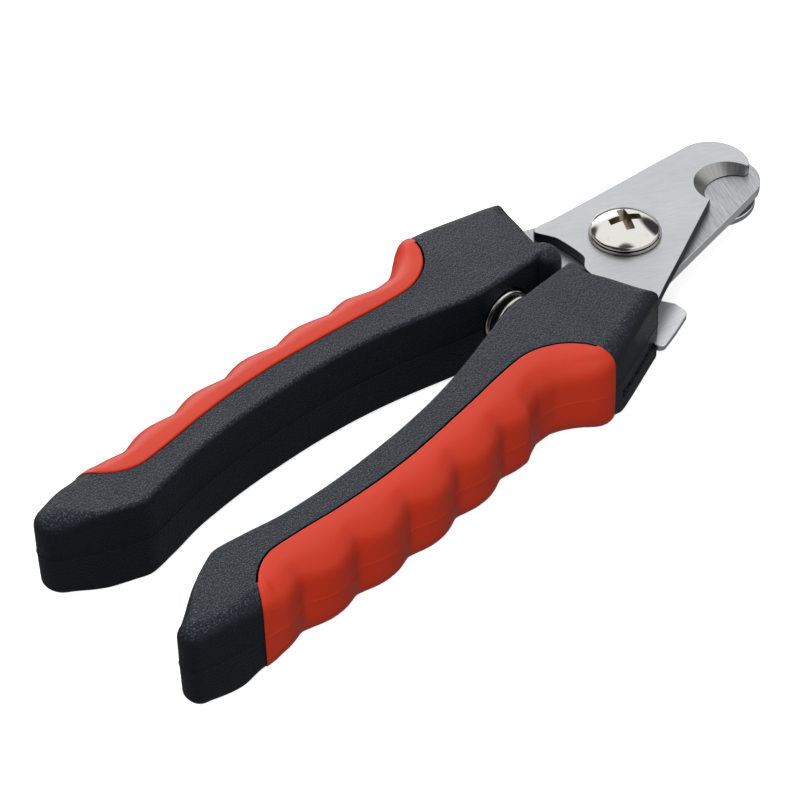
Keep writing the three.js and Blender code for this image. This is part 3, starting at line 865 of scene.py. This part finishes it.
BLADE_T = 2.0
UPPER_Z = 8.95
LOWER_Z = 6.85
STACK_TOP = UPPER_Z + BLADE_T
GUARD_Z = 4.4
GUARD_T = 1.2
LOWER_NOTCH_SHIFT = -1.3
LOWER_LEAN = 0.015              # closed, the lower blade's tip lies slightly across
BLADE_BEVEL = 0.09
GUARD_BEVEL = 0.12
TANG_REAR = -56
TANG_R = 1.5
# Where the walls of the upper blade are ground, round the notch: x, y and radius.
GROUND_ZONE = (25.2, -4.5, 7.2)
LEVEL_NORMAL = 0.85             # a face whose normal rises at least this much is no wall
SLOT_ROOM = 0.3                 # above and below the guard's tab


def blade_outline(notch, shift):
    """The upper blade anticlockwise: nose, back, heel, rear slot, tang, front edge and notch."""
    x, y, radius, start, end = notch
    return [
        *arc(27.0, 1.6, 7.15, -51, 82, 40),
        *spline([(20.6, 9.65), (8.6, 11.05), (-5, 12.75), (-8, 13.4), (-9.6, 13.45)], 1.5),
        (-10.3, 13.2), (-10.6, 12.7), (-10.4, 11.9), (-9.6, 9.8), (-9.3, 8.9),
        *spline([(-9.2, 8.2), (-9.4, 5.1), (-9.8, 2.3), (-10.3, 0.9), (-12.0, -0.5), (-12.7, -1.7),
                 (-13.2, -4.0)], 0.8),
        (-21.8, -4.6), (-22.6, -9.4),
        *arc(TANG_REAR + TANG_R, -11, TANG_R, 90, 180, 5),
        *arc(TANG_REAR + TANG_R, -14.2, TANG_R, 180, 270, 5),
        (-24, -16.6), (-16, -17.6), (-11, -16.9),
        *spline([(-6.9, -15.1), (-4.6, -14.2), (1.6, -11.8)], 1.0),
        (10.6, -8.2), (17.8, -5.35),
        *arc(x, y + shift, radius, start, end, 48),
    ]


def blade(name, body, inside_z, outside_z, shift, material):
    """A plate whose notch widens from its inside face to its outside face."""
    outlines = {inside_z: blade_outline(NOTCH_INSIDE, shift),
                outside_z: blade_outline(NOTCH_OUTSIDE, shift)}
    low, high = sorted(outlines)
    zone_x, zone_y, zone_r = GROUND_ZONE
    if body == "upper":
        clockwise = [list(reversed(outlines[z])) for z in (low, high)]
        centre = place((zone_x, zone_y + shift, 0))
        painted_wall = MATERIALS["painted_shade_wall_steel"]
    else:
        clockwise = [[(x, max(x, 0) * LOWER_LEAN - y) for x, y in outlines[z]] for z in (low, high)]
        centre = place((zone_x, -zone_y - shift, 0))
        painted_wall = MATERIALS["painted_light_wall_steel"]
    obj = slab(name, *clockwise, low, high, BLADE_BEVEL, material)
    obj.data.materials.append(MATERIALS["ground_edge"])
    obj.data.materials.append(painted_wall)
    # Walls outside the ground zone get the steel with painted shade on the upper blade, and the steel
    # with painted light on the lower one.
    for face in obj.data.polygons:
        spot = face.center
        ground = math.hypot(spot.x - centre[0], spot.y - centre[1]) < zone_r * MM
        if abs(face.normal.z) < LEVEL_NORMAL:
            face.material_index = 1 if ground else 2
    keep(obj, body, f"{body}_blade")


def guard_outline():
    """Anticlockwise from the stop disc: round the pivot, out to the thumb tab, and back."""
    return [
        *arc(24.9, -0.7, 8.0, -118, 84, 46),
        *arc(0, 0, 8, 84, 215, 24),
        *spline([(-7.8, -8.0), (-12.0, -15.0), (-15.2, -19.3)], 1.5),
        *arc(-14.5, -20.5, 1.2, 150, 285, 9),
        (-10, -20.6),
        *arc(-6.4, -17.4, 2.0, 290, 370, 9),
        *spline([(-4.3, -15.6), (-5.0, -14.0), (-5.2, -12.2), (-2.8, -9.0), (2, -7.6), (9, -6.5),
                 (15.5, -6.7)], 1.0),
    ]


def guard():
    outline = list(reversed(guard_outline()))
    obj = slab("guard_lever", outline, outline, GUARD_Z, GUARD_Z + GUARD_T, GUARD_BEVEL,
               MATERIALS["guard_steel"])
    keep(obj, "guard", "guard_plate")


def guard_slot():
    """What the near head loses to the guard's swing: a wedge open to the front and outer sides."""
    outline = [(-29.4, -12.5), (-29.4, -30), (-8, -30), (-8, -3), (-20.5, -3)]
    verts, faces = skin([[(x, y, z) for x, y in outline]
                         for z in (GUARD_Z - SLOT_ROOM, GUARD_Z + GUARD_T + SLOT_ROOM)])
    return mesh_object("slot_cut", verts, faces, MATERIALS["black_plastic"])


# ---- pivot -------------------------------------------------------------------------------------

GAP = 0.1                       # between the pieces on the screw
SCREW_R = 2.5
SCREW_BEVEL = 0.4
SCREW_END_Z = 0.4
HEAD_R = 6.4
HEAD_H = 3.1
RIM = 0.7                       # the height of the head's upright rim
# How far inside the rim, and how high above or below its ends, the turn of its edge goes.
RIM_LOW_TURN = ((0.25, 0), (0.08, 0.08), (0, 0.25))
RIM_HIGH_TURN = ((0, 0.3), (0.04, 0.1))
CROSS_ARM = 3.4                 # from the cross's middle to an arm's end, then width and depth
CROSS_W = 1.7
CROSS_DEPTH = 1.9
CROSS_TURN = -30
HEAD_WASHER_R = 6.7
HEAD_WASHER_T = 0.5
SPACER_R = 5.0
WASHER_BORE_R = SCREW_R + 0.15
WASHER_BEVEL = 0.08
HEAD_SEAT = STACK_TOP + GAP + HEAD_WASHER_T + GAP
NUT_Z = 0.5
NUT_T = 2.9
NUT_FLATS = 8
NUT_BORE_R = 2.56
NUT_BEVEL_H = 0.28
LOCK_R = 4.3
LOCK_BORE_R = 2.65
LOCK_SPLIT = 18                 # degrees that the split takes
LOCK_RISE = 0.05                # each end stands this much above or below the middle
LOCK_SLANT = 6                  # degrees of slant of the split's faces for 1 mm of height


def tapered_bar(turn_deg):
    """One arm of the cross recess, narrower and shorter towards its floor."""
    top = HEAD_SEAT + HEAD_H
    c, s = math.cos(math.radians(turn_deg)), math.sin(math.radians(turn_deg))
    rings = []
    for z, share in ((top - CROSS_DEPTH, 0.55), (top - CROSS_DEPTH * 0.15, 0.95), (top + 1, 1.15)):
        a, b = CROSS_ARM * share, CROSS_W / 2 * (0.7 + 0.3 * share)
        corners = [(-a, -b), (a, -b), (a, b), (-a, b)]
        rings.append([(x * c - y * s, x * s + y * c, z) for x, y in corners])
    return mesh_object("arm_cut", *skin(rings), MATERIALS["recess"])


def pivot_screw():
    rise = HEAD_H - RIM
    dome_r = (HEAD_R ** 2 + rise ** 2) / (2 * rise)
    dome_deg = math.degrees(math.asin(HEAD_R / dome_r))
    centre_z = HEAD_SEAT + HEAD_H - dome_r
    dome = [(dome_r * math.sin(math.radians(a)), centre_z + dome_r * math.cos(math.radians(a)))
            for a in spread(dome_deg * 0.97, 0.15, 26)]
    profile = [(0.02, SCREW_END_Z), (SCREW_R - SCREW_BEVEL, SCREW_END_Z),
               (SCREW_R, SCREW_END_Z + SCREW_BEVEL), (SCREW_R, HEAD_SEAT),
               *[(HEAD_R - inset, HEAD_SEAT + up) for inset, up in RIM_LOW_TURN],
               *[(HEAD_R - inset, HEAD_SEAT + RIM - down) for inset, down in RIM_HIGH_TURN], *dome]
    screw = lathe("cross_head_screw", profile, MATERIALS["nickel_plate"])
    carve(screw, [tapered_bar(CROSS_TURN), tapered_bar(CROSS_TURN + 90)], sharp_deg=30)
    keep(screw, "lower", "pivot_screw")


def ring_washer(name, outer, low, high, material, node):
    profile = [(WASHER_BORE_R, low), (outer - WASHER_BEVEL, low), (outer, low + WASHER_BEVEL),
               (outer, high - WASHER_BEVEL), (outer - WASHER_BEVEL, high), (WASHER_BORE_R, high)]
    obj = lathe(name, profile, material, hollow=True)
    keep(obj, "lower", node)


def lock_washer():
    """A spring washer whose slanting ends stand a little apart."""
    low, high = NUT_Z + NUT_T + GAP, GUARD_Z - GAP
    section = ((LOCK_BORE_R, low), (LOCK_R - 0.1, low), (LOCK_R, low + WASHER_BEVEL),
               (LOCK_R, high - WASHER_BEVEL), (LOCK_R - 0.1, high), (LOCK_BORE_R, high))
    first, last = LOCK_SPLIT / 2, 360 - LOCK_SPLIT / 2
    rings = []
    for a in spread(first, last, 80):
        rise = (a - 180) / (last - 180) * LOCK_RISE
        ring = []
        for r, z in section:
            turn = math.radians(a + (z - (low + high) / 2) * LOCK_SLANT)
            ring.append((r * math.cos(turn), r * math.sin(turn), z + rise))
        rings.append(ring)
    obj = mesh_object("split_washer", *skin(rings), MATERIALS["washer_steel"])
    keep(obj, "lower", "lock_washer")


def pivot_nut():
    """Hexagon with chamfered corners: each corner's top and bottom is cut by a cone."""
    half, top = NUT_FLATS / 2, NUT_Z + NUT_T
    corner_r = NUT_FLATS / math.sqrt(3)
    rings = []
    for z, cone_r in ((NUT_Z, half - 0.1), (NUT_Z + NUT_BEVEL_H, corner_r),
                      (top - NUT_BEVEL_H, corner_r), (top, half - 0.1)):
        ring = []
        for a in ROUND_ANGLES:
            flat_r = half / math.cos((a + math.pi / 6) % (math.pi / 3) - math.pi / 6)
            r = min(flat_r, cone_r)
            ring.append((r * math.cos(a), r * math.sin(a), z))
        rings.append(ring)
    rings += [circle(NUT_BORE_R, top), circle(NUT_BORE_R, NUT_Z), rings[0]]
    obj = mesh_object("hex_nut", *skin(rings, caps=False), MATERIALS["nickel_plate"], 20)
    keep(obj, "lower", "pivot_nut")


# ---- assembly ----------------------------------------------------------------------------------

handle("far", "lower")
handle("near", "upper")
spring()
blade("upper_notched_blade", "upper", UPPER_Z, STACK_TOP, 0, MATERIALS["blade_steel"])
blade("lower_notched_blade", "lower", LOWER_Z + BLADE_T, LOWER_Z, LOWER_NOTCH_SHIFT,
      MATERIALS["lower_steel"])
guard()
pivot_screw()
pivot_nut()
lock_washer()
ring_washer("screw_washer", HEAD_WASHER_R, STACK_TOP + GAP, STACK_TOP + GAP + HEAD_WASHER_T,
            MATERIALS["nickel_shaded"], "head_washer")
ring_washer("spacer_washer", SPACER_R, GUARD_Z + GUARD_T + GAP, LOWER_Z - GAP,
            MATERIALS["washer_steel"], "guard_washer")

# ---- studio ------------------------------------------------------------------------------------

FLOOR_HALF = 4.0                # metres
FLOOR_DROP = 0.0001             # keeps the floor clear of the undersides
FLOOR_GREY = 0.8                # what the camera sees of it, with a glow that makes it white
FLOOR_GLOW = 0.75
FLOOR_BOUNCE = 0.12             # what it throws back, and the light from all round
AMBIENT = 0.12
FLOOR_SHINE = 0.15              # what shiny pieces see of the floor and the walls
WALL_SHINE = 0.9
SPOT_CORE = 0.6                 # the share of a spot's width that is not faded
# Where they see a window or something dark instead: direction, shine, half width in degrees.
SPOTS = (
    ((0.53, 0.83, 0.17), 2.8, 18),
    ((0.93, -0.03, 0.33), 0.04, 25),
    ((-0.42, -0.42, 0.8), 0.08, 24),
    ((-0.12, 0.95, 0.24), 0.06, 20),
    ((-0.97, -0.3, 0.0), 0.05, 52),
)


def by_ray(tree, seen, mirrored_in, unseen, socket):
    """Sends one shader to the camera, one to reflected rays and one to every other ray."""
    path = tree.nodes.new("ShaderNodeLightPath")
    shader = unseen
    for kind, choice in (("Is Glossy Ray", mirrored_in), ("Is Camera Ray", seen)):
        mix = tree.nodes.new("ShaderNodeMixShader")
        tree.links.new(path.outputs[kind], mix.inputs[0])
        tree.links.new(shader, mix.inputs[1])
        tree.links.new(choice, mix.inputs[2])
        shader = mix.outputs[0]
    tree.links.new(shader, socket)


def floor():
    mesh = bpy.data.meshes.new("floor")
    corners = [(x * FLOOR_HALF, y * FLOOR_HALF, 0) for x, y in ((-1, -1), (1, -1), (1, 1), (-1, 1))]
    mesh.from_pydata(corners, [], [(0, 1, 2, 3)])
    obj = bpy.data.objects.new("floor", mesh)
    bpy.context.scene.collection.objects.link(obj)
    obj.location.z = -FLOOR_DROP
    material = bpy.data.materials.new("floor_white")
    material.use_nodes = True
    tree = material.node_tree
    white = tree.nodes["Principled BSDF"]
    white.inputs["Base Color"].default_value = (FLOOR_GREY, FLOOR_GREY, FLOOR_GREY, 1)
    white.inputs["Roughness"].default_value = 1
    white.inputs["Emission Color"].default_value = (1, 1, 1, 1)
    white.inputs["Emission Strength"].default_value = FLOOR_GLOW
    dim = tree.nodes.new("ShaderNodeBsdfDiffuse")
    dim.inputs["Color"].default_value = (FLOOR_BOUNCE, FLOOR_BOUNCE, FLOOR_BOUNCE, 1)
    shine = tree.nodes.new("ShaderNodeEmission")
    shine.inputs["Color"].default_value = (1, 1, 1, 1)
    shine.inputs["Strength"].default_value = FLOOR_SHINE
    by_ray(tree, white.outputs[0], shine.outputs[0], dim.outputs[0],
           tree.nodes["Material Output"].inputs["Surface"])
    mesh.materials.append(material)


def wall_shine(tree):
    """How bright the surroundings look to shiny pieces, by direction."""
    seen = tree.nodes.new("ShaderNodeTexCoord").outputs["Generated"]
    level = tree.nodes.new("ShaderNodeValue").outputs[0]
    level.default_value = WALL_SHINE
    for direction, shine, width in SPOTS:
        facing = tree.nodes.new("ShaderNodeVectorMath")
        facing.operation = "DOT_PRODUCT"
        tree.links.new(seen, facing.inputs[0])
        facing.inputs[1].default_value = Vector(direction).normalized()
        share = tree.nodes.new("ShaderNodeMapRange")
        share.interpolation_type = "SMOOTHSTEP"
        share.inputs["From Min"].default_value = math.cos(math.radians(width))
        share.inputs["From Max"].default_value = math.cos(math.radians(width * SPOT_CORE))
        tree.links.new(facing.outputs["Value"], share.inputs["Value"])
        mixed = tree.nodes.new("ShaderNodeMix")
        tree.links.new(share.outputs["Result"], mixed.inputs[0])
        tree.links.new(level, mixed.inputs[2])
        mixed.inputs[3].default_value = shine
        level = mixed.outputs[0]
    return level


def world():
    sky = bpy.data.worlds.new("studio")
    bpy.context.scene.world = sky
    sky.use_nodes = True
    tree = sky.node_tree
    white = tree.nodes["Background"]
    white.inputs["Color"].default_value = (1, 1, 1, 1)
    shine = tree.nodes.new("ShaderNodeBackground")
    tree.links.new(wall_shine(tree), shine.inputs["Strength"])
    shine.inputs["Color"].default_value = (1, 1, 1, 1)
    dim = tree.nodes.new("ShaderNodeBackground")
    dim.inputs["Color"].default_value = (AMBIENT, AMBIENT, AMBIENT, 1)
    by_ray(tree, white.outputs[0], shine.outputs[0], dim.outputs[0],
           tree.nodes["World Output"].inputs["Surface"])


def softbox(name, at, towards, width, height, power):
    """A soft lamp that shiny pieces don't see."""
    data = bpy.data.lights.new(name, "AREA")
    data.shape = "RECTANGLE"
    data.size, data.size_y = width, height
    data.energy = power
    obj = bpy.data.objects.new(name, data)
    obj.visible_glossy = False
    bpy.context.scene.collection.objects.link(obj)
    aim(obj, Vector(at), Vector(towards) - Vector(at), Vector((0, 0, 1)))


floor()
world()
softbox("back", (0.42, 0.42, 0.55), (0, 0, 0), 0.9, 0.55, 1.5)
softbox("back_left", (-0.1, 0.7, 0.35), (-0.05, 0, 0), 0.9, 0.3, 2.5)
softbox("overhead", (0.0, 0.05, 0.85), (0, 0, 0), 0.7, 0.7, 2.8)
softbox("front_fill", (-0.4, -0.35, 0.35), (0, 0, 0), 0.5, 0.4, 2.4)
bpy.context.scene.view_settings.view_transform = "Standard"
